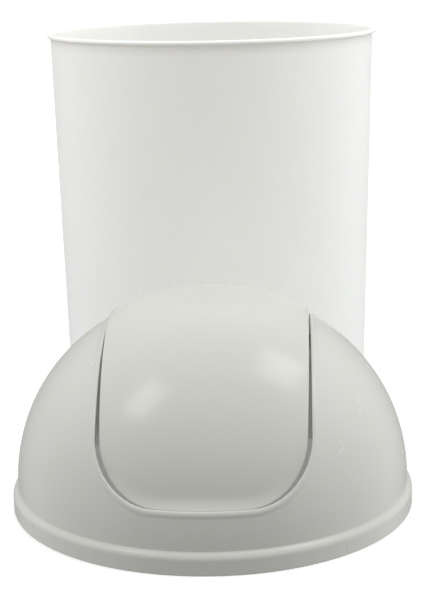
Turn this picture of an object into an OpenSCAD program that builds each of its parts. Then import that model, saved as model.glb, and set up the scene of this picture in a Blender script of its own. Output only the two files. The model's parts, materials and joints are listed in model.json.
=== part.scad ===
// Round swing-top waste bin: a tapered tub, and its domed lid standing on the floor before it.
// The origin is the centre of the tub's foot. +Z is up, and the lid's front faces -Y.
// Each lid part is drawn on the lid's own axis, with z = 0 at the lower edge of the skirt.

/* [Tub] */
// Height from the floor to the top of the rim
tub_h = 445.5; // [380:1:520]
// Outer radius of the rolled rim
rim_r = 200; // [196:0.5:200]
// Outer radius of the tub at the floor
foot_r = 187.5; // [176:0.5:190]
// Wall thickness of the tub
tub_wall = 2.4; // [1.8:0.1:3]
// Section radius of the rolled rim
rim_bead = 2.8; // [2.2:0.1:3]
// How far the rolled rim stands out from the wall
rim_out = 3.6; // [2.6:0.1:4]
// Radius of the rounded foot edge
foot_round = 6; // [4:0.5:8]
// Height of the floor panel's underside over the ground
base_lift = 4; // [2:0.5:8]
// Width of the ring that the tub stands on
foot_ring = 14; // [12:1:24]

/* [Lid] */
// Outer radius of the lid's skirt
skirt_r = 202.5; // [202.5:0.5:205]
// Height of the shoulder where the dome starts
shoulder_z = 21; // [19:0.5:26]
// Radius of the rounded shoulder
shoulder_round = 7; // [5:0.5:8]
// Wall thickness of the lid
lid_wall = 2.2; // [1.8:0.1:2.6]
// Greatest radius of the dome
dome_r = 197.4; // [197:0.1:198.5]
// Distance from the lid's axis to the centre of the dome's curve
dome_in = 16; // [12:0.5:18]
// Height of the centre of the dome's curve above the skirt's edge
dome_z = 25; // [24:0.5:26]
// Number of snap lugs inside the skirt
lug_count = 8; // [4:1:12]
// How far a snap lug stands in from the skirt
lug_depth = 1.3; // [0.8:0.1:1.6]

/* [Opening] */
// Half of the opening's width
open_w = 100; // [99.5:0.5:102]
// Height of the opening's lower edges, front and back
open_z = 58; // [50:1:66]
// Radius of the opening's lower corners
open_round = 54; // [48:1:56]
// Width of the raised border round the opening
border_w = 5.5; // [4:0.5:7]
// Height of the raised border over the dome
border_h = 1.2; // [0.8:0.1:2]
// Depth of the side cheeks under the dome
cheek_depth = 30; // [28:1:34]
// Height at which the side cheeks end
cheek_z = 98; // [92:1:104]

/* [Flap] */
// Radius of the flap from front to back, at its middle
flap_r = 186.4; // [185.5:0.1:187]
// Radius of the flap's crown from side to side
crown_r = 216; // [210:1:222]
// Height of the flap's centre above the skirt's edge
flap_z = 32; // [31:0.5:33]
// Wall thickness of the flap
flap_wall = 2.2; // [1.8:0.1:2.6]
// Half of the flap's width at its hinge
flap_top_w = 98.5; // [97.5:0.5:98.5]
// Half of the flap's width at its lower edges
flap_low_w = 94.5; // [93:0.5:95]
// Height of the flap's lower edges, just behind the opening's edges
flap_low_z = 56; // [55:0.5:60]
// Radius of the flap's lower corners
flap_round = 54; // [50:0.5:55]
// Depth of the stiffening flange behind the flap's edge
flap_flange = 7; // [4:0.5:9]
// How far the lip on the flap's lower edges stays under the dome's surface
lip_drop = 5.2; // [5:0.1:6]

/* [Hinge] */
// Height of the hinge axis above the skirt's edge
pivot_z = 167; // [166:0.5:168]
// Radius of each hinge pin
pin_r = 3; // [2.5:0.1:3.5]
// Radial running clearance of the flap on its pins
pin_gap = 0.05; // [0.02:0.01:0.1]
// Radius of the bosses round the pins
boss_r = 7; // [6:0.5:7.5]
// Swing of the flap each way before it meets a stop
flap_swing = 50; // [30:1:60]
// Width of the arm between each flap boss and the flap
arm_w = 18; // [15:0.5:20]

/* [Lid on the floor] */
// Gap between the tub's foot and the lid's skirt
lid_gap = 22; // [22:1:60]
// Sideways offset of the lid from the tub
lid_x = -8; // [-30:1:30]
// Turn of the lid about its own axis, in degrees
lid_turn = -3; // [-10:1:10]

/* [Hidden] */
$fn = 128;
reach = 3 * skirt_r;
thin = 0.3;
overlap = 0.01;
lid_y = -(foot_r + lid_gap + skirt_r);
taper = (rim_r - rim_out - foot_r) / tub_h;
base_wall = 2.6;
inner_round = 5;
shoulder_r = skirt_r - shoulder_round;
shoulder_low = shoulder_z - shoulder_round;
lug_top = shoulder_low - 2.2;
lug_span = 5;
rib = 2.4;
arm_in = 93.5;
arm_out = flap_top_w - 0.8;
flap_boss_in = 88;
cheek_boss_l = 6;
head_r = 5;
head_l = 2;
stop_r = 3;
stop_reach = 14;
stop_angle = flap_swing + asin((arm_w / 2 + stop_r + thin) / stop_reach);

function tub_r(z) = foot_r + taper * z;

// Puts a lid part, drawn on the lid's own axis, where the lid stands on the floor.
module on_floor() {
    translate([lid_x, lid_y, 0]) rotate([0, 0, lid_turn]) children();
}

// Runs an outline, drawn in X and Z, through the whole lid from front to back.
module through() {
    rotate([90, 0, 0]) linear_extrude(height = 2 * reach, center = true) children();
}

// Turns a cylinder on to the hinge axis, from distance a to distance b along +X.
module on_hinge(r, a, b) {
    translate([a, 0, pivot_z]) rotate([0, 90, 0]) cylinder(r = r, h = b - a);
}

module both_sides() {
    children();
    mirror([1, 0, 0]) children();
}

// Tub
module tub_outside() {
    polygon([
        [0, 0],
        [foot_r - foot_round, 0],
        [tub_r(foot_round), foot_round],
        [tub_r(tub_h - rim_bead), tub_h - rim_bead],
        [0, tub_h - rim_bead],
    ]);
    translate([foot_r - foot_round, foot_round]) circle(foot_round);
}

module tub_inside() {
    floor_z = base_lift + base_wall;
    polygon([
        [0, floor_z],
        [tub_r(floor_z) - tub_wall - inner_round, floor_z],
        [tub_r(floor_z + inner_round) - tub_wall, floor_z + inner_round],
        [tub_r(tub_h) - tub_wall, tub_h],
        [0, tub_h],
    ]);
}

module tub() {
    color("whitesmoke") rotate_extrude() {
        difference() {
            tub_outside();
            tub_inside();
            translate([0, -1]) square([foot_r - foot_ring, base_lift + 1]);
        }
        translate([rim_r - rim_bead, tub_h - rim_bead]) circle(rim_bead);
    }
}

// Height of the dome's surface at distance r from the lid's axis.
function dome_height(r) = dome_z + sqrt(pow(dome_r - dome_in, 2) - pow(r - dome_in, 2));

// Half-section of the dome, taken in by inset.
module dome_section(inset) {
    intersection() {
        translate([dome_in, dome_z]) circle(dome_r - dome_in - inset);
        square([skirt_r, reach]);
    }
}

module dome(inset) {
    rotate_extrude() dome_section(inset);
}

// Half-section of the lid's outside, or of its inside when taken in by the wall.
module lid_section(wall) {
    square([skirt_r - wall, shoulder_low]);
    square([shoulder_r, shoulder_z - wall]);
    translate([shoulder_r, shoulder_low]) circle(shoulder_round - wall);
    dome_section(wall);
}

// Outline of the opening, widened by grow.
module opening_outline(grow) {
    corner_x = open_w - open_round;
    corner_z = open_z + open_round;
    translate([-open_w - grow, corner_z]) square([2 * (open_w + grow), reach]);
    translate([-corner_x, open_z - grow]) square([2 * corner_x, reach]);
    for (side = [-1, 1])
        translate([side * corner_x, corner_z]) circle(open_round + grow);
}

module lid_shell() {
    rotate_extrude() difference() {
        lid_section(0);
        lid_section(lid_wall);
        translate([0, -1]) square([skirt_r - lid_wall, 2]);
    }
}

module raised_border() {
    intersection() {
        difference() {
            dome(-border_h);
            dome(lid_wall);
        }
        through() opening_outline(border_w);
    }
}

// Upright cheek under one side of the opening, which carries a pin and the flap's two stops.
module cheek() {
    intersection() {
        difference() {
            translate([open_w, -reach, cheek_z]) cube([rib, 2 * reach, reach]);
            translate([0, 0, dome_z]) rotate([0, 90, 0])
                cylinder(r = dome_height(open_w) - dome_z - cheek_depth, h = reach);
        }
        dome(lid_wall / 2);
    }
    on_hinge(boss_r, open_w, open_w + cheek_boss_l);
    for (side = [-1, 1])
        translate([arm_in + 1, 0, pivot_z]) rotate([side * stop_angle, 0, 0])
            translate([0, 0, stop_reach]) rotate([0, 90, 0]) cylinder(r = stop_r, h = open_w - arm_in);
}

module snap_lug() {
    wall_r = skirt_r - lid_wall;
    rotate([0, 0, -lug_span / 2]) rotate_extrude(angle = lug_span) polygon([
        [wall_r - lug_depth, lug_top - 1],
        [wall_r - lug_depth, lug_top - 2],
        [wall_r + 1, lug_top - 6],
        [wall_r + 1, lug_top],
    ]);
}

module dome_lid() {
    color("white") on_floor() {
        difference() {
            union() {
                lid_shell();
                raised_border();
            }
            through() opening_outline(0);
        }
        difference() {
            both_sides() cheek();
            both_sides() on_hinge(pin_r, flap_boss_in, open_w + cheek_boss_l + 1);
        }
        for (i = [0 : lug_count - 1])
            rotate([0, 0, 360 / lug_count * i]) snap_lug();
    }
}

// Height of the flap's surface at distance x from its middle, on the hinge line.
function crown_z(x) = flap_z + flap_r - crown_r + sqrt(pow(crown_r, 2) - pow(x, 2));

// The flap's barrel shape, turned about a line across the lid and taken in by inset.
module barrel(inset) {
    translate([0, 0, flap_z]) rotate([0, 90, 0]) rotate_extrude() intersection() {
        translate([flap_r - crown_r, 0]) circle(crown_r - inset);
        translate([0, -reach]) square([reach, 2 * reach]);
    }
}

// Outline of the flap, brought in by inset, with its sides leaning in towards its lower edges.
module flap_outline(inset) {
    lean = atan((flap_top_w - flap_low_w) / (crown_z(flap_top_w) - flap_low_z));
    corner_z = flap_low_z + flap_round;
    corner_x = flap_low_w + flap_round * (tan(lean) - 1 / cos(lean));
    r = flap_round - inset;
    straight_r = r - overlap;
    side_x = corner_x + straight_r * cos(lean);
    side_z = corner_z - straight_r * sin(lean);
    top_z = flap_z + flap_r + 1;
    top_x = side_x + (top_z - side_z) * tan(lean);
    polygon([
        [-corner_x, corner_z - straight_r],
        [corner_x, corner_z - straight_r],
        [corner_x, corner_z],
        [side_x, side_z],
        [top_x, top_z],
        [-top_x, top_z],
        [-side_x, side_z],
        [-corner_x, corner_z],
    ]);
    for (side = [-1, 1])
        translate([side * corner_x, corner_z]) circle(r);
}

// Arm and boss that hang one side of the flap on its pin.
module flap_arm() {
    intersection() {
        translate([arm_in, -arm_w / 2, pivot_z]) cube([arm_out - arm_in, arm_w, reach]);
        barrel(flap_wall / 2);
        through() flap_outline(thin);
    }
    on_hinge(arm_w / 2, arm_in, arm_out);
    on_hinge(boss_r, flap_boss_in, arm_out);
}

// Border of the flap, one wall wide.
module flap_border() {
    through() difference() {
        flap_outline(0);
        flap_outline(flap_wall);
    }
}

module swing_flap() {
    color("white") on_floor() {
        intersection() {
            difference() {
                barrel(0);
                barrel(flap_wall);
            }
            through() flap_outline(0);
        }
        intersection() {
            difference() {
                barrel(flap_wall / 2);
                barrel(flap_flange);
            }
            flap_border();
        }
        intersection() {
            difference() {
                dome(lip_drop);
                barrel(flap_wall / 2);
            }
            flap_border();
        }
        difference() {
            both_sides() flap_arm();
            both_sides() on_hinge(pin_r + pin_gap, flap_boss_in - 1, arm_out + 1);
        }
    }
}

module hinge_pin() {
    color("gainsboro") {
        on_hinge(pin_r, flap_boss_in - thin, open_w + cheek_boss_l);
        on_hinge(head_r, flap_boss_in - thin - head_l, flap_boss_in - thin);
    }
}

module left_hinge_pin() {
    on_floor() mirror([1, 0, 0]) hinge_pin();
}

module right_hinge_pin() {
    on_floor() hinge_pin();
}

tub();
dome_lid();
swing_flap();
left_hinge_pin();
right_hinge_pin();
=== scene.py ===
"""Looks for a round swing-top waste bin whose domed lid stands on the floor before the tub.

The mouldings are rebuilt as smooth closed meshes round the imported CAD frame: the tub as a turned
section, the lid as a section carried round its opening, and the flap as a curved panel.
Sizes of the mouldings are in millimetres, from the axis of the tub or of the lid. The floor, the
lamps and the camera are in metres.
"""

import json
import math

import bmesh
import bpy
import numpy as np
from mathutils import Matrix, Vector


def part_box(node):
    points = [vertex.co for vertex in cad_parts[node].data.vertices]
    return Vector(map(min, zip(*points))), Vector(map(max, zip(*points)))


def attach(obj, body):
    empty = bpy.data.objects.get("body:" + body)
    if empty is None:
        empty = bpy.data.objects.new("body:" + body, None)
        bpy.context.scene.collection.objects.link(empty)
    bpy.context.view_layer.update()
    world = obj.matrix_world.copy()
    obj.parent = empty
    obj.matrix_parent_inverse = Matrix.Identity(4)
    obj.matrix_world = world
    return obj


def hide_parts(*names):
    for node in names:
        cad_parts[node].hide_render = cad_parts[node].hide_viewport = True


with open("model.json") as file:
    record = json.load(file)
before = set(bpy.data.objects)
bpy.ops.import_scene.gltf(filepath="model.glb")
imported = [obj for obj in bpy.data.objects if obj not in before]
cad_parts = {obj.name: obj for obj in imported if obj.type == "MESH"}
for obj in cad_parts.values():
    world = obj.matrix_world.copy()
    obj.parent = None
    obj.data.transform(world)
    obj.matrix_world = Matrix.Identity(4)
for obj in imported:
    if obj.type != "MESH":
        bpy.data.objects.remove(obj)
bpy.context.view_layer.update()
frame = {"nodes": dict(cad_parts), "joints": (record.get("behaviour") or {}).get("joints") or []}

MM = 0.001

# ---------------------------------------------------------------- sizes from the frame
tub_low, tub_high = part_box("tub")
lid_low, lid_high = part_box("dome_lid")
hinge = next(j for j in frame["joints"] if j["name"] == "flap_swing")

TUB_H = tub_high.z / MM
RIM_R = (tub_high.x - tub_low.x) / 2 / MM
SKIRT_R = (lid_high.x - lid_low.x) / 2 / MM
LID_X, LID_Y, PIVOT_Z = (c / MM for c in hinge["pos_m"])
LID_TURN = math.atan2(hinge["axis"][1], hinge["axis"][0])

# ---------------------------------------------------------------- the mouldings' own sizes
FOOT_R = 187.5
TUB_WALL = 2.4
RIM_BEAD = 2.8
RIM_OUT = 3.6
BASE_LIFT = 4.0
BASE_WALL = 2.6
BASE_ROUND = 7.0
FOOT_RING = 14.0
FOOT_ROUND = 6.0
FOOT_IN = 5.87
FOOT_FLAT = 9.0
RING_ROUND = 1.2
STEP_ROUND = 2.0
NECK_DROP = 0.9
NECK_RISE = 0.55
NECK_OUT = 0.25
BEAD_DEPTH = 6.0
TUB_STEPS = 288

LID_WALL = 2.2
SHOULDER_Z = 21.0
SHOULDER_ROUND = 7.0
SKIRT_EDGE = 0.6
FILLET = 1.6
DOME_R = 197.4
DOME_IN = 16.0
DOME_Z = 25.0
LUGS = 8
LUG_DEPTH = 1.3
LUG_SPAN = math.radians(5)
LUG_ROOT = 0.8
LUG_DROP = 2.2
LUG_NOSE = (1.0, 2.0)
LUG_H = 6.0

# The fine upright lines on the skirt, with their turn and half width in degrees.
LINE_TURN = 14.5
LINE_HALF = 0.2
LINE_DEPTH = 0.22
LINE_STEPS = (-0.22, -0.1, 0.0, 0.1, 0.22)

OPEN_W = 100.0
OPEN_Z = 58.0
OPEN_ROUND = 54.0
BORDER_W = 7.0
BORDER_H = 0.8
RIB = 2.4
CHEEK_DEPTH = 30.0
CHEEK_Z = 98.0

FLAP_R = 186.4
CROWN_R = 216.0
FLAP_Z = 32.0
FLAP_WALL = 2.2
FLAP_TOP_W = 98.5
FLAP_LOW_W = 94.5
FLAP_LOW_Z = 56.0
FLAP_ROUND = 54.0
FLAP_FLANGE = 7.0
FLAP_EDGE = 1.2
LIP_DROP = 5.2
FLARE_W = 13.0

PIN_R = 3.0
PIN_GAP = 0.05
BOSS_R = 7.0
STOP_R = 3.0
STOP_REACH = 14.0
STOP_GAP = 0.3
ARM_W = 18.0
ARM_IN = 93.5
ARM_OUT = FLAP_TOP_W - 0.8
BOSS_IN = 88.0
CHEEK_BOSS_L = 6.0
BOSS_EDGE = 0.4
SWING = hinge["range_deg"][1]


# ---------------------------------------------------------------- mesh helpers
def new_object(name, points, faces):
    """A smooth-shaded mesh object from points in metres."""
    mesh = bpy.data.meshes.new(name)
    mesh.from_pydata([tuple(p) for p in points], [], faces)
    mesh.validate()
    shells = bmesh.new()
    shells.from_mesh(mesh)
    bmesh.ops.recalc_face_normals(shells, faces=shells.faces)
    shells.to_mesh(mesh)
    shells.free()
    mesh.shade_smooth()
    obj = bpy.data.objects.new(name, mesh)
    bpy.context.scene.collection.objects.link(obj)
    return obj


def quads(start, rings, m):
    """Faces that join rings of m points each, numbered one after another from start."""
    faces = []
    for a in range(start, start + (rings - 1) * m, m):
        for j in range(m):
            k = (j + 1) % m
            faces.append((a + j, a + k, a + m + k, a + m + j))
    return faces


class Solid:
    """Gathers closed shells, given in millimetres, into one mesh."""

    def __init__(self):
        self.points = []
        self.faces = []

    def add(self, points, faces):
        start = sum(len(p) for p in self.points)
        self.points.append(np.asarray(points, float))
        self.faces += [tuple(start + i for i in f) for f in faces]

    def loft(self, rings, close_loft=True):
        """A shell through rings of equal count. A closed loft joins its last ring to its first, and
        an open one has a face over each end."""
        rings = np.asarray(rings, float)
        n, m = rings.shape[:2]
        last = (n - 1) * m
        faces = quads(0, n, m)
        if close_loft:
            faces += [(last + j, last + (j + 1) % m, (j + 1) % m, j) for j in range(m)]
        else:
            faces.append(tuple(reversed(range(m))))
            faces.append(tuple(range(last, n * m)))
        self.add(rings.reshape(-1, 3), faces)

    def build(self, name, place):
        return new_object(name, place(np.concatenate(self.points)) * MM, self.faces)


def on_lid(points):
    """From the lid's own axis to where the lid stands."""
    c, s = math.cos(LID_TURN), math.sin(LID_TURN)
    x, y, z = points.T
    return np.stack([LID_X + x * c - y * s, LID_Y + x * s + y * c, z], 1)


def arc(cx, cz, r, start, end, steps):
    """Points of an arc in a section, with its angles in degrees."""
    t = np.radians(np.linspace(start, end, steps + 1))
    return [(cx + r * math.cos(a), cz + r * math.sin(a)) for a in t]


def between(a, b, steps):
    """Points that part a straight run, its two ends left out."""
    t = np.linspace(0, 1, steps + 2)[1:-1]
    return [(a[0] + (b[0] - a[0]) * k, a[1] + (b[1] - a[1]) * k) for k in t]


def turned(section, steps):
    """Rings of a section, given as radius and height, turned about the upright axis."""
    a = np.linspace(0, 2 * math.pi, steps, endpoint=False)
    return [
        np.stack([r * np.cos(a), r * np.sin(a), np.full(steps, z)], 1)
        for r, z in section
    ]


def on_hinge(section, steps, side, y=0.0, z=PIVOT_Z):
    """Rings of a section, given as radius and distance, turned about a line along X."""
    a = np.linspace(0, 2 * math.pi, steps, endpoint=False)
    return [
        np.stack([np.full(steps, side * x), y + r * np.cos(a), z + side * r * np.sin(a)], 1)
        for r, x in section
    ]


def meet(c1, r1, c2, r2):
    """The upper of the two points where two circles of a section cross."""
    (x1, y1), (x2, y2) = c1, c2
    d = math.hypot(x2 - x1, y2 - y1)
    a = (r1 * r1 - r2 * r2 + d * d) / (2 * d)
    h = math.sqrt(r1 * r1 - a * a)
    ux, uy = (x2 - x1) / d, (y2 - y1) / d
    both = [(x1 + a * ux - s * h * uy, y1 + a * uy + s * h * ux) for s in (-1, 1)]
    return max(both, key=lambda p: p[1])


# ---------------------------------------------------------------- tub
def wall_r(z, depth=0.0):
    """Radius of the tub's tapered wall at a height, depth in from its outside."""
    taper = (RIM_R - RIM_OUT - FOOT_R) / TUB_H
    return FOOT_R + taper * z - depth


def tub_section():
    """The tub's section, from the middle of its underside round the rim to the middle of its floor."""
    floor_z = BASE_LIFT + BASE_WALL
    ring_in = FOOT_R - FOOT_RING
    neck_z = TUB_H - 2 * RIM_BEAD - NECK_DROP
    neck = (wall_r(neck_z), neck_z)
    under_rim = (wall_r(TUB_H - BEAD_DEPTH, TUB_WALL), TUB_H - BEAD_DEPTH)
    low_z = floor_z + BASE_ROUND
    low = (wall_r(low_z, TUB_WALL), low_z)
    section = [(0.0, BASE_LIFT)]
    section += between((0, BASE_LIFT), (ring_in - STEP_ROUND, BASE_LIFT), 8)
    section += arc(ring_in - STEP_ROUND, BASE_LIFT - STEP_ROUND, STEP_ROUND, 90, 10, 4)
    section += arc(ring_in + RING_ROUND, RING_ROUND, RING_ROUND, 190, 270, 4)
    section += [(FOOT_R - FOOT_FLAT, 0)]
    section += arc(FOOT_R - FOOT_IN, FOOT_ROUND, FOOT_ROUND, -90, 0, 8)
    section += between((wall_r(FOOT_ROUND), FOOT_ROUND), neck, 40)
    section += [neck, (wall_r(TUB_H) + NECK_OUT, neck_z + NECK_RISE)]
    section += arc(RIM_R - RIM_BEAD, TUB_H - RIM_BEAD, RIM_BEAD, -80, 180, 26)
    section += [under_rim]
    section += between(under_rim, low, 40)
    section += arc(low[0] - BASE_ROUND, low_z, BASE_ROUND, 0, -90, 8)
    section += between((wall_r(floor_z, TUB_WALL) - BASE_ROUND, floor_z), (0, floor_z), 10)
    section += [(0.0, floor_z)]
    return section


def make_tub():
    """The tub's rings, with a fan of triangles over its two middles."""
    m = TUB_STEPS
    rings = turned(tub_section(), m)
    points = np.concatenate([rings[0][:1], *rings[1:-1], rings[-1][:1]])
    count = len(rings) - 2
    last = 1 + (count - 1) * m
    faces = []
    for j in range(m):
        k = (j + 1) % m
        faces.append((0, 1 + k, 1 + j))
        faces.append((last + m, last + j, last + k))
    faces += quads(1, count, m)
    tub = Solid()
    tub.add(points, faces)
    return tub.build("tub_moulding", lambda p: p)


# ---------------------------------------------------------------- lid
CORNER_X = OPEN_W - OPEN_ROUND
CORNER_Z = OPEN_Z + OPEN_ROUND
DOME_ARC = DOME_R - DOME_IN


def dome_radius(z, h=0.0):
    """Radius of the dome at a height, h over its surface."""
    return DOME_IN + math.sqrt((DOME_ARC + h) ** 2 - (z - DOME_Z) ** 2)


def dome_height(r, h=0.0):
    """Height of the dome at a distance from the lid's axis, h over its surface."""
    return DOME_Z + math.sqrt((DOME_ARC + h) ** 2 - (r - DOME_IN) ** 2)


def edge_point(u, g, h):
    """A point by the opening's edge. u runs once round it from 0 to 4, from the right side's middle
    by way of the back. g is the distance out from the edge, and h the height over the dome."""
    quarter = int(u) % 4
    t = u - int(u)
    t = 1 - t if quarter in (1, 3) else t
    sx = 1 if quarter in (0, 3) else -1
    sy = 1 if quarter in (0, 1) else -1
    w = OPEN_W + g
    side_share, corner_share, crowd = 0.62, 0.88, 1.25
    if t <= side_share:
        last = math.sqrt(dome_radius(CORNER_Z, h) ** 2 - w * w)
        y = last * math.sin(crowd * t / side_share) / math.sin(crowd)
        return (sx * w, sy * y, dome_height(math.hypot(w, y), h))
    if t <= corner_share:
        b = math.pi / 2 * (t - side_share) / (corner_share - side_share)
        x = CORNER_X + (OPEN_ROUND + g) * math.cos(b)
        z = CORNER_Z - (OPEN_ROUND + g) * math.sin(b)
    else:
        x = CORNER_X * (1 - (t - corner_share) / (1 - corner_share))
        z = OPEN_Z - g
    y = math.sqrt(dome_radius(z, h) ** 2 - x * x)
    return (sx * x, sy * y, z)


def lid_columns():
    """Places for the columns of the lid's mesh, closer together by the skirt's fine lines. Each is
    a value of u, with its distance from the line in degrees or None."""
    base = list(np.linspace(0, 4, 4 * 84, endpoint=False))
    fine = np.linspace(0, 4, 4 * 400 + 1)
    turn = np.unwrap([math.atan2(*edge_point(u % 4, 0, 0)[1::-1]) for u in fine])
    lines = []
    for i in range(LUGS):
        middle = (i + 0.5) * 2 * math.pi / LUGS + math.radians(LINE_TURN)
        for step in LINE_STEPS:
            a = (middle + math.radians(step) - turn[0]) % (2 * math.pi) + turn[0]
            lines.append((float(np.interp(a, turn, fine)), step))
    too_near = 0.004
    columns = list(lines)
    for u in base:
        if min(abs((u - v + 2) % 4 - 2) for v, _ in lines) > too_near:
            columns.append((u, None))
    return sorted(columns, key=lambda c: c[0])


def border(steps):
    """The raised border's section, as distance from the edge and height over the dome."""
    outer, crest = BORDER_W, 0.42 * BORDER_W
    section = []
    for t in np.linspace(0, 1, steps):
        s = t * t * (3 - 2 * t)
        section.append((outer + (crest - outer) * t, BORDER_H * s))
    for a in np.linspace(0, math.pi / 2, steps)[1:]:
        section.append((crest * (1 - math.sin(a)), BORDER_H * (math.cos(a) - 0.35 * math.sin(a))))
    return section


def dome_rows(u, h, g, low, steps):
    """Points h over the dome, up the meridian from a height to the opening's edge."""
    x, y, z = edge_point(u, g, h)
    turn = math.atan2(y, x)
    top = math.asin((z - DOME_Z) / (DOME_ARC + h))
    bottom = math.asin((low - DOME_Z) / (DOME_ARC + h))
    rows = []
    for e in np.linspace(bottom, top, steps):
        r = DOME_IN + (DOME_ARC + h) * math.cos(e)
        rows.append((r * math.cos(turn), r * math.sin(turn), DOME_Z + (DOME_ARC + h) * math.sin(e)))
    return rows


def lid_column(u, line):
    """One column of the lid's mesh: the whole section, from the skirt's outer edge round to its
    inner edge."""
    x, y, _ = edge_point(u, BORDER_W, 0)
    turn = math.atan2(y, x)
    groove = 0.0 if line is None else LINE_DEPTH * max(0.0, 1 - abs(line) / LINE_HALF)
    sh_r, sh_z = SKIRT_R - SHOULDER_ROUND, SHOULDER_Z - SHOULDER_ROUND
    centre = meet((sh_r, sh_z), SHOULDER_ROUND + FILLET, (DOME_IN, DOME_Z), DOME_ARC + FILLET)
    on_shoulder = math.degrees(math.atan2(centre[1] - sh_z, centre[0] - sh_r))
    on_dome = math.degrees(math.atan2(centre[1] - DOME_Z, centre[0] - DOME_IN))
    outer = arc(SKIRT_R - SKIRT_EDGE, SKIRT_EDGE, SKIRT_EDGE, -90, 0, 3)
    outer += [(SKIRT_R - groove, z) for z in (2.0, 5.0, 8.0, 11.0, 13.4)]
    outer += arc(sh_r, sh_z, SHOULDER_ROUND, 0, on_shoulder, 9)
    outer += arc(*centre, FILLET, on_shoulder + 180, on_dome + 180, 5)[1:-1]
    start_z = DOME_Z + DOME_ARC * math.sin(math.radians(on_dome))
    column = [(r * math.cos(turn), r * math.sin(turn), z) for r, z in outer]
    column += dome_rows(u, 0, BORDER_W, start_z, 40)[:-1]
    column += [edge_point(u, g, h) for g, h in border(8)]
    column += [edge_point(u, 0, h) for h in (-0.8, -1.3, -1.7)]
    column += [edge_point(u, g, h) for g, h in ((0.15, -2.05), (0.5, -LID_WALL))]
    column += dome_rows(u, -LID_WALL, 1.5, SHOULDER_Z - LID_WALL, 34)[::-1]
    inner = arc(sh_r, sh_z, SHOULDER_ROUND - LID_WALL, 90, 0, 6)
    inner += [(SKIRT_R - LID_WALL, z) for z in (11.0, 7.0, 3.5)]
    inner += arc(SKIRT_R - LID_WALL + SKIRT_EDGE, SKIRT_EDGE, SKIRT_EDGE, 180, 270, 3)
    column += [(r * math.cos(turn), r * math.sin(turn), z) for r, z in inner]
    return column


def disc_section(r, x0, x1, edge):
    """Section of a round boss with softened ends, for on_hinge."""
    return [(r - edge, x0), (r, x0 + edge), (r, x1 - edge), (r - edge, x1)]


def tube_section(r_in, r_out, x0, x1, edge):
    """Section of a round boss with a bore and softened ends, for on_hinge."""
    return [
        (r_in, x0 + edge), (r_in + edge, x0), (r_out - edge, x0), (r_out, x0 + edge),
        (r_out, x1 - edge), (r_out - edge, x1), (r_in + edge, x1), (r_in, x1 - edge),
    ]


def cheek_outline():
    """The cheek's outline along Y and Z: an arch that hugs the dome, cut off level at its feet."""
    plane = OPEN_W + RIB / 2
    skin = -LID_WALL / 2
    last = math.sqrt(dome_radius(CHEEK_Z, skin) ** 2 - plane ** 2)
    inner = dome_height(OPEN_W) - DOME_Z - CHEEK_DEPTH
    foot = math.acos((CHEEK_Z - DOME_Z) / inner)
    top = [(y, dome_height(math.hypot(plane, y), skin)) for y in np.linspace(-last, last, 60)]
    under = [(inner * math.sin(a), DOME_Z + inner * math.cos(a)) for a in np.linspace(foot, -foot, 60)]
    return np.array(top + under)


def add_cheek(solid, side):
    """The rib beside the opening, with the boss for its pin and the two stops for the flap."""
    outline = cheek_outline()
    middle = np.roll(outline, 1, 0) - np.roll(outline, -1, 0)
    normal = np.stack([-middle[:, 1], middle[:, 0]], 1)
    normal /= np.linalg.norm(normal, axis=1)[:, None]
    rings = []
    for x, inset in ((0.15, 0.5), (0.5, 0.1), (RIB - 0.5, 0.1), (RIB - 0.15, 0.5)):
        p = outline + normal * inset
        rings.append(np.stack([np.full(len(p), side * (OPEN_W + x)), p[:, 0], p[:, 1]], 1))
    half = len(outline) // 2
    m = len(outline)
    faces = quads(0, len(rings), m)
    for base, flip in ((0, False), (3 * m, True)):
        for j in range(half - 1):
            f = (base + j, base + m - 1 - j, base + m - 2 - j, base + j + 1)
            faces.append(tuple(reversed(f)) if flip else f)
    solid.add(np.concatenate(rings), faces)
    boss = tube_section(PIN_R, BOSS_R, OPEN_W + 0.2, OPEN_W + CHEEK_BOSS_L, BOSS_EDGE)
    solid.loft(on_hinge(boss, 48, side))
    swing = SWING + math.degrees(math.asin((ARM_W / 2 + STOP_R + STOP_GAP) / STOP_REACH))
    for way in (-1, 1):
        a = math.radians(way * swing)
        y, z = STOP_REACH * math.sin(a), PIVOT_Z + STOP_REACH * math.cos(a)
        peg = disc_section(STOP_R, ARM_IN + 1, OPEN_W + 1, 0.6)
        solid.loft(on_hinge(peg, 28, side, y, z), close_loft=False)


def add_lug(solid, middle):
    """One snap lug inside the skirt, a short wedge that slips under the tub's rim."""
    wall = SKIRT_R - LID_WALL
    top = SHOULDER_Z - SHOULDER_ROUND - LUG_DROP
    section = [(wall - LUG_DEPTH, top - drop) for drop in LUG_NOSE]
    section += [(wall + LUG_ROOT, top - LUG_H), (wall + LUG_ROOT, top)]
    rings = []
    for a in np.linspace(middle - LUG_SPAN / 2, middle + LUG_SPAN / 2, 9):
        rings.append([(r * math.cos(a), r * math.sin(a), z) for r, z in section])
    solid.loft(rings, close_loft=False)


def make_lid():
    """The lid's shell, its two cheeks and its lugs."""
    lid = Solid()
    columns = np.array([lid_column(u, line) for u, line in lid_columns()])
    lid.loft(columns.transpose(1, 0, 2))
    for side in (-1, 1):
        add_cheek(lid, side)
    for i in range(LUGS):
        add_lug(lid, i * 2 * math.pi / LUGS)
    return lid.build("lid_moulding", on_lid)


# ---------------------------------------------------------------- flap
def crown(x, depth=0.0):
    """Radius of the flap about its line across the lid, at distance x from its middle."""
    return FLAP_R - CROWN_R + math.sqrt((CROWN_R - depth) ** 2 - x * x)


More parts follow.
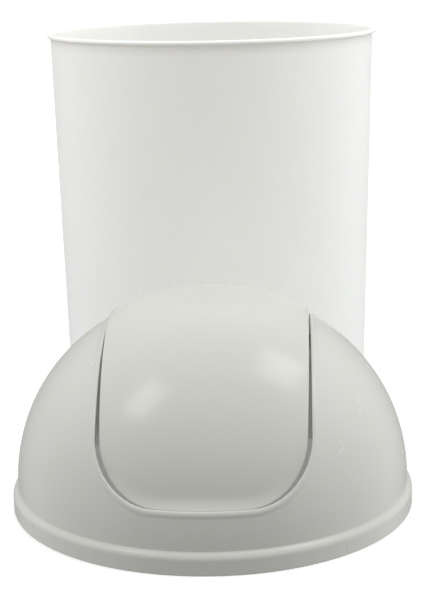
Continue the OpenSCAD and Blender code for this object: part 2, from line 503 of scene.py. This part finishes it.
def flap_half(inset):
    """The lean of the flap's sides, and the centre and radius of its lower corners."""
    lean = math.atan((FLAP_TOP_W - FLAP_LOW_W) / (FLAP_Z + crown(FLAP_TOP_W) - FLAP_LOW_Z))
    corner_z = FLAP_LOW_Z + FLAP_ROUND
    corner_x = FLAP_LOW_W + FLAP_ROUND * (math.tan(lean) - 1 / math.cos(lean))
    return lean, corner_x, corner_z, FLAP_ROUND - inset


def flare(x, z):
    """How far the flap's lower border stands out, so that its edge is close behind the opening's."""
    _, corner_x, corner_z, r = flap_half(0)
    if z >= corner_z:
        return 0.0
    inside = r - math.hypot(max(abs(x) - corner_x, 0), corner_z - z)
    t = min(max(1 - inside / FLARE_W, 0), 1)
    edge_y = math.sqrt(dome_radius(z, -LIP_DROP) ** 2 - x * x)
    return t * t * max(edge_y - math.sqrt(crown(x) ** 2 - (z - FLAP_Z) ** 2), 0)


def flap_grid(depth, inset):
    """Points of the flap's panel, depth under its outside and inset from its lower edges: rows from
    the front edge over the top to the back edge."""
    rows_corner, rows_side, columns, tries = 26, 44, 72, 12
    lean, corner_x, corner_z, r = flap_half(inset)
    low = []
    for a in np.linspace(0, math.pi / 2 - lean, rows_corner):
        low.append((corner_x + r * math.sin(a), corner_z - r * math.cos(a)))
    side_x, side_z = low[-1]

    def angle(x, z):
        return math.atan2(math.sqrt(max(crown(x, depth) ** 2 - (z - FLAP_Z) ** 2, 0)), z - FLAP_Z)

    rows = [(x, angle(x, z)) for x, z in low]
    start = rows[-1][1]
    for t in np.linspace(1, 0, rows_side)[1:]:
        x = side_x
        for _ in range(tries):
            z = FLAP_Z + crown(x, depth) * math.cos(start * t)
            x = side_x + (z - side_z) * math.tan(lean)
        rows.append((x, start * t))
    grid = []
    flat_z = corner_z - r
    for i, (half, a) in enumerate(rows):
        fade = max(0.0, 1 - i / rows_corner) ** 2
        line = []
        for c in np.linspace(-1, 1, columns):
            x = half * c
            b = a + fade * (angle(corner_x * c, flat_z) - angle(corner_x, flat_z))
            rho = crown(x, depth)
            z = FLAP_Z + rho * math.cos(b)
            line.append((x, -rho * math.sin(b) - flare(x, z), z))
        grid.append(line)
    front = np.array(grid)
    back = front[-2::-1] * np.array([1, -1, 1])
    return np.concatenate([front, back])


def rim_of(grid):
    """The grid's outer points, once round."""
    rows, columns = grid.shape[:2]
    ring = [grid[0, j] for j in range(columns)]
    ring += [grid[i, columns - 1] for i in range(1, rows)]
    ring += [grid[rows - 1, j] for j in range(columns - 2, -1, -1)]
    ring += [grid[i, 0] for i in range(rows - 2, 0, -1)]
    return np.array(ring)


def add_panel(solid):
    """The flap's shell: its outside, its rounded edge, the flange behind that edge, and its inside."""
    outside = flap_grid(0, FLAP_EDGE)
    inside = flap_grid(FLAP_WALL, FLAP_WALL + 0.6)
    rows, columns = outside.shape[:2]
    rings = []
    for a in np.linspace(0, math.pi / 2, 7)[1:]:
        inset = FLAP_EDGE * (1 - math.sin(a))
        rings.append(rim_of(flap_grid(FLAP_EDGE * (1 - math.cos(a)), inset)))
    for depth in np.linspace(FLAP_EDGE, FLAP_FLANGE - 0.5, 4)[1:]:
        rings.append(rim_of(flap_grid(depth, 0)))
    for inset, depth in ((0.15, 0.15), (0.5, 0), (FLAP_WALL - 0.5, 0), (FLAP_WALL - 0.15, 0.15)):
        rings.append(rim_of(flap_grid(FLAP_FLANGE - depth, inset)))
    for depth in (FLAP_FLANGE - 0.6, (FLAP_FLANGE + FLAP_WALL) / 2, FLAP_WALL + 0.5):
        rings.append(rim_of(flap_grid(depth, FLAP_WALL)))
    grid_size = rows * columns
    ids = np.arange(grid_size).reshape(rows, columns)
    rim_ids = rim_of(ids[:, :, None])[:, 0]
    faces = []
    for i in range(rows - 1):
        for j in range(columns - 1):
            o = (ids[i, j], ids[i, j + 1], ids[i + 1, j + 1], ids[i + 1, j])
            faces.append(o)
            faces.append(tuple(reversed([q + grid_size for q in o])))
    m = len(rim_ids)
    loops = [list(rim_ids)]
    loops += [list(range(2 * grid_size + i * m, 2 * grid_size + (i + 1) * m)) for i in range(len(rings))]
    loops.append(list(rim_ids + grid_size))
    for a, b in zip(loops, loops[1:]):
        for j in range(m):
            k = (j + 1) % m
            faces.append((a[j], b[j], b[k], a[k]))
    points = np.concatenate([outside.reshape(-1, 3), inside.reshape(-1, 3), *rings])
    solid.add(points, [tuple(int(i) for i in f) for f in faces])


def add_arm(solid, side):
    """The arm and boss that hang one side of the flap on its pin."""
    rings = []
    inset = 0.35
    for x, back in ((ARM_IN, inset), (ARM_IN + inset, 0), (ARM_OUT - inset, 0), (ARM_OUT, inset)):
        half = ARM_W / 2 - back
        ring = [(-half, 0.0)]
        roof = math.sqrt(crown(ARM_OUT, FLAP_WALL / 2) ** 2 - half ** 2)
        ring.append((-half, FLAP_Z + roof - PIVOT_Z - 0.6))
        ring.append((half, FLAP_Z + roof - PIVOT_Z - 0.6))
        ring += [(half * math.cos(a), -half * math.sin(a)) for a in np.linspace(0, math.pi, 25)[:-1]]
        rings.append([(side * x, y * side, PIVOT_Z + z) for y, z in ring])
    solid.loft(rings, close_loft=False)
    boss = tube_section(PIN_R + PIN_GAP, BOSS_R, BOSS_IN, ARM_IN + 0.3, BOSS_EDGE)
    solid.loft(on_hinge(boss, 48, side))


def make_flap():
    """The flap's panel and its two arms."""
    flap = Solid()
    add_panel(flap)
    for side in (-1, 1):
        add_arm(flap, side)
    return flap.build("flap_moulding", on_lid)


# ---------------------------------------------------------------- materials
def plastic(name, base, rough, grain, bump, mottle, sub=0.12):
    """Moulded plastic with a fine grain, faint flow ripples and small changes of tone and gloss."""
    material = bpy.data.materials.new(name)
    material.use_nodes = True
    tree = material.node_tree
    nodes, links = tree.nodes, tree.links
    shader = nodes["Principled BSDF"]
    shader.inputs["Specular IOR Level"].default_value = 0.5
    shader.inputs["IOR"].default_value = 1.49
    shader.inputs["Subsurface Weight"].default_value = sub
    shader.inputs["Subsurface Radius"].default_value = (0.006, 0.005, 0.004)
    shader.inputs["Subsurface Scale"].default_value = 1.0
    where = nodes.new("ShaderNodeTexCoord")

    def noise(scale, detail, roughness=0.5):
        n = nodes.new("ShaderNodeTexNoise")
        n.inputs["Scale"].default_value = scale
        n.inputs["Detail"].default_value = detail
        n.inputs["Roughness"].default_value = roughness
        links.new(where.outputs["Object"], n.inputs["Vector"])
        return n

    def ramp(source, low, high, a, b):
        r = nodes.new("ShaderNodeMapRange")
        r.inputs["From Min"].default_value = low
        r.inputs["From Max"].default_value = high
        r.inputs["To Min"].default_value = a
        r.inputs["To Max"].default_value = b
        links.new(source, r.inputs["Value"])
        return r.outputs["Result"]

    flow = noise(9.0, 3.0)
    tone = nodes.new("ShaderNodeMix")
    tone.data_type = "RGBA"
    tone.inputs["A"].default_value = (*base, 1)
    tone.inputs["B"].default_value = (*[c * (1 - mottle) for c in base], 1)
    links.new(ramp(flow.outputs["Fac"], 0.35, 0.7, 0, 1), tone.inputs["Factor"])
    links.new(tone.outputs["Result"], shader.inputs["Base Color"])
    patches = noise(26.0, 4.0, 0.6)
    gloss = ramp(patches.outputs["Fac"], 0.3, 0.75, rough * 0.86, rough * 1.18)
    links.new(gloss, shader.inputs["Roughness"])
    fine = noise(grain, 2.0)
    ripple = noise(34.0, 1.0)
    grain_share = 0.35
    mixed = nodes.new("ShaderNodeMath")
    mixed.operation = "MULTIPLY_ADD"
    mixed.inputs[1].default_value = grain_share
    links.new(fine.outputs["Fac"], mixed.inputs[0])
    links.new(ripple.outputs["Fac"], mixed.inputs[2])
    relief = nodes.new("ShaderNodeBump")
    relief.inputs["Strength"].default_value = bump
    relief.inputs["Distance"].default_value = 0.0004
    links.new(mixed.outputs["Value"], relief.inputs["Height"])
    links.new(relief.outputs["Normal"], shader.inputs["Normal"])
    return material


tub_plastic = plastic("tub_white_plastic", (0.92, 0.925, 0.893), 0.42, 900, 0.16, 0.012, sub=0.6)
# Painted shade: the lid's and the flap's plastics are a darker, warmer copy of the tub's white, standing
# in for the shade that falls on the lid's front.
lid_shaded_plastic = plastic("lid_plastic_painted_shade", (0.565, 0.57, 0.535), 0.24, 1400, 0.05, 0.012)
flap_shaded_plastic = plastic("flap_plastic_painted_shade", (0.57, 0.575, 0.535), 0.2, 1400, 0.03, 0.01)
pin_plastic = plastic("pin_white_plastic", (0.62, 0.62, 0.6), 0.3, 1200, 0.05, 0.02)


def floor_material():
    """A dull white floor that glows a little, so that it stays evenly white."""
    material = bpy.data.materials.new("pale_floor")
    material.use_nodes = True
    shader = material.node_tree.nodes["Principled BSDF"]
    shader.inputs["Base Color"].default_value = (0.95, 0.95, 0.95, 1)
    shader.inputs["Roughness"].default_value = 1.0
    shader.inputs["Specular IOR Level"].default_value = 0.0
    shader.inputs["Emission Color"].default_value = (1, 1, 1, 1)
    shader.inputs["Emission Strength"].default_value = 0.12
    return material


# ---------------------------------------------------------------- pieces
def fit(obj, material, body, node):
    """Gives a piece its material, hangs it on its body, and hides the node it replaces."""
    obj.data.materials.append(material)
    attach(obj, body)
    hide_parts(node)


fit(make_tub(), tub_plastic, "tub", "tub")
fit(make_lid(), lid_shaded_plastic, "lid", "dome_lid")
fit(make_flap(), flap_shaded_plastic, "flap", "swing_flap")
for pin in ("left_hinge_pin", "right_hinge_pin"):
    for place in frame["nodes"][pin].material_slots:
        place.material = pin_plastic

# ---------------------------------------------------------------- floor, light and camera
FLOOR_R = 40.0
FLOOR_SIDES = 64
round_floor = np.linspace(0, 2 * math.pi, FLOOR_SIDES + 1)[:-1]
floor = new_object(
    "floor",
    [(FLOOR_R * math.cos(a), FLOOR_R * math.sin(a), 0) for a in round_floor],
    [tuple(range(FLOOR_SIDES))],
)
floor.data.materials.append(floor_material())

# The floor is seen by the camera only, and light from below reaches the pieces as if it weren't there.
floor.visible_diffuse = False
floor.visible_glossy = False
floor.visible_shadow = False

# Strength of the world's light. The even light comes from every way, and the others add to it.
EVEN_LIGHT = 0.17
TOP_LIGHT = 0.87
BACK_LIGHT = 0.22
RIGHT_LIGHT = 0.92
LEFT_LIGHT = 0.68


def studio_world():
    """White light all round, much stronger from above and from both sides, a little from behind."""
    world = bpy.data.worlds.new("studio")
    world.use_nodes = True
    nodes, links = world.node_tree.nodes, world.node_tree.links
    way = nodes.new("ShaderNodeTexCoord")
    parts = nodes.new("ShaderNodeSeparateXYZ")
    links.new(way.outputs["Generated"], parts.inputs["Vector"])

    def rise(axis, low, high, amount):
        r = nodes.new("ShaderNodeMapRange")
        r.interpolation_type = "SMOOTHSTEP"
        r.inputs["From Min"].default_value = low
        r.inputs["From Max"].default_value = high
        r.inputs["To Min"].default_value = 0
        r.inputs["To Max"].default_value = amount
        links.new(parts.outputs[axis], r.inputs["Value"])
        return r.outputs["Result"]

    def total(a, b):
        m = nodes.new("ShaderNodeMath")
        m.operation = "ADD"
        links.new(a, m.inputs[0])
        if isinstance(b, float):
            m.inputs[1].default_value = b
        else:
            links.new(b, m.inputs[1])
        return m.outputs["Value"]

    light = total(rise("Z", -0.1, 0.9, TOP_LIGHT), rise("Y", -0.6, 0.5, BACK_LIGHT))
    light = total(light, rise("X", 0.4, 1.0, RIGHT_LIGHT))
    light = total(light, rise("X", -0.4, -1.0, LEFT_LIGHT))
    links.new(total(light, EVEN_LIGHT), nodes["Background"].inputs["Strength"])
    nodes["Background"].inputs["Color"].default_value = (1, 1, 1, 1)
    return world


bpy.context.scene.world = studio_world()


def area_light(name, place, target, size, power):
    """A rectangular lamp that points at a target."""
    light = bpy.data.lights.new(name, "AREA")
    light.shape = "RECTANGLE"
    light.size, light.size_y = size
    light.energy = power
    obj = bpy.data.objects.new(name, light)
    bpy.context.scene.collection.objects.link(obj)
    obj.location = place
    obj.rotation_mode = "QUATERNION"
    obj.rotation_quaternion = (Vector(target) - Vector(place)).to_track_quat("-Z", "Y")


# Two small lamps that make the soft patches on the flap.
LID_TOP = (0, -0.45, 0.18)
area_light("left_box", (-1.15, -1.2, 1.68), LID_TOP, (0.5, 0.8), 4.0)
area_light("right_box", (1.08, -0.55, 1.88), LID_TOP, (0.8, 0.7), 4.6)

camera = bpy.data.cameras.new("camera")
camera.sensor_width = 36
camera.sensor_fit = "AUTO"
camera.lens = 89.64
eye = bpy.data.objects.new("camera", camera)
bpy.context.scene.collection.objects.link(eye)
bpy.context.scene.camera = eye
eye.location = (-0.0036, -1.8551, 0.5577)
PITCH = math.radians(13.72)
ROLL = math.radians(1.12)
aim = Matrix.Rotation(math.pi / 2 - PITCH, 3, "X") @ Matrix.Rotation(-ROLL, 3, "Z")
eye.rotation_euler = aim.to_euler()

bpy.context.scene.view_settings.view_transform = "Standard"
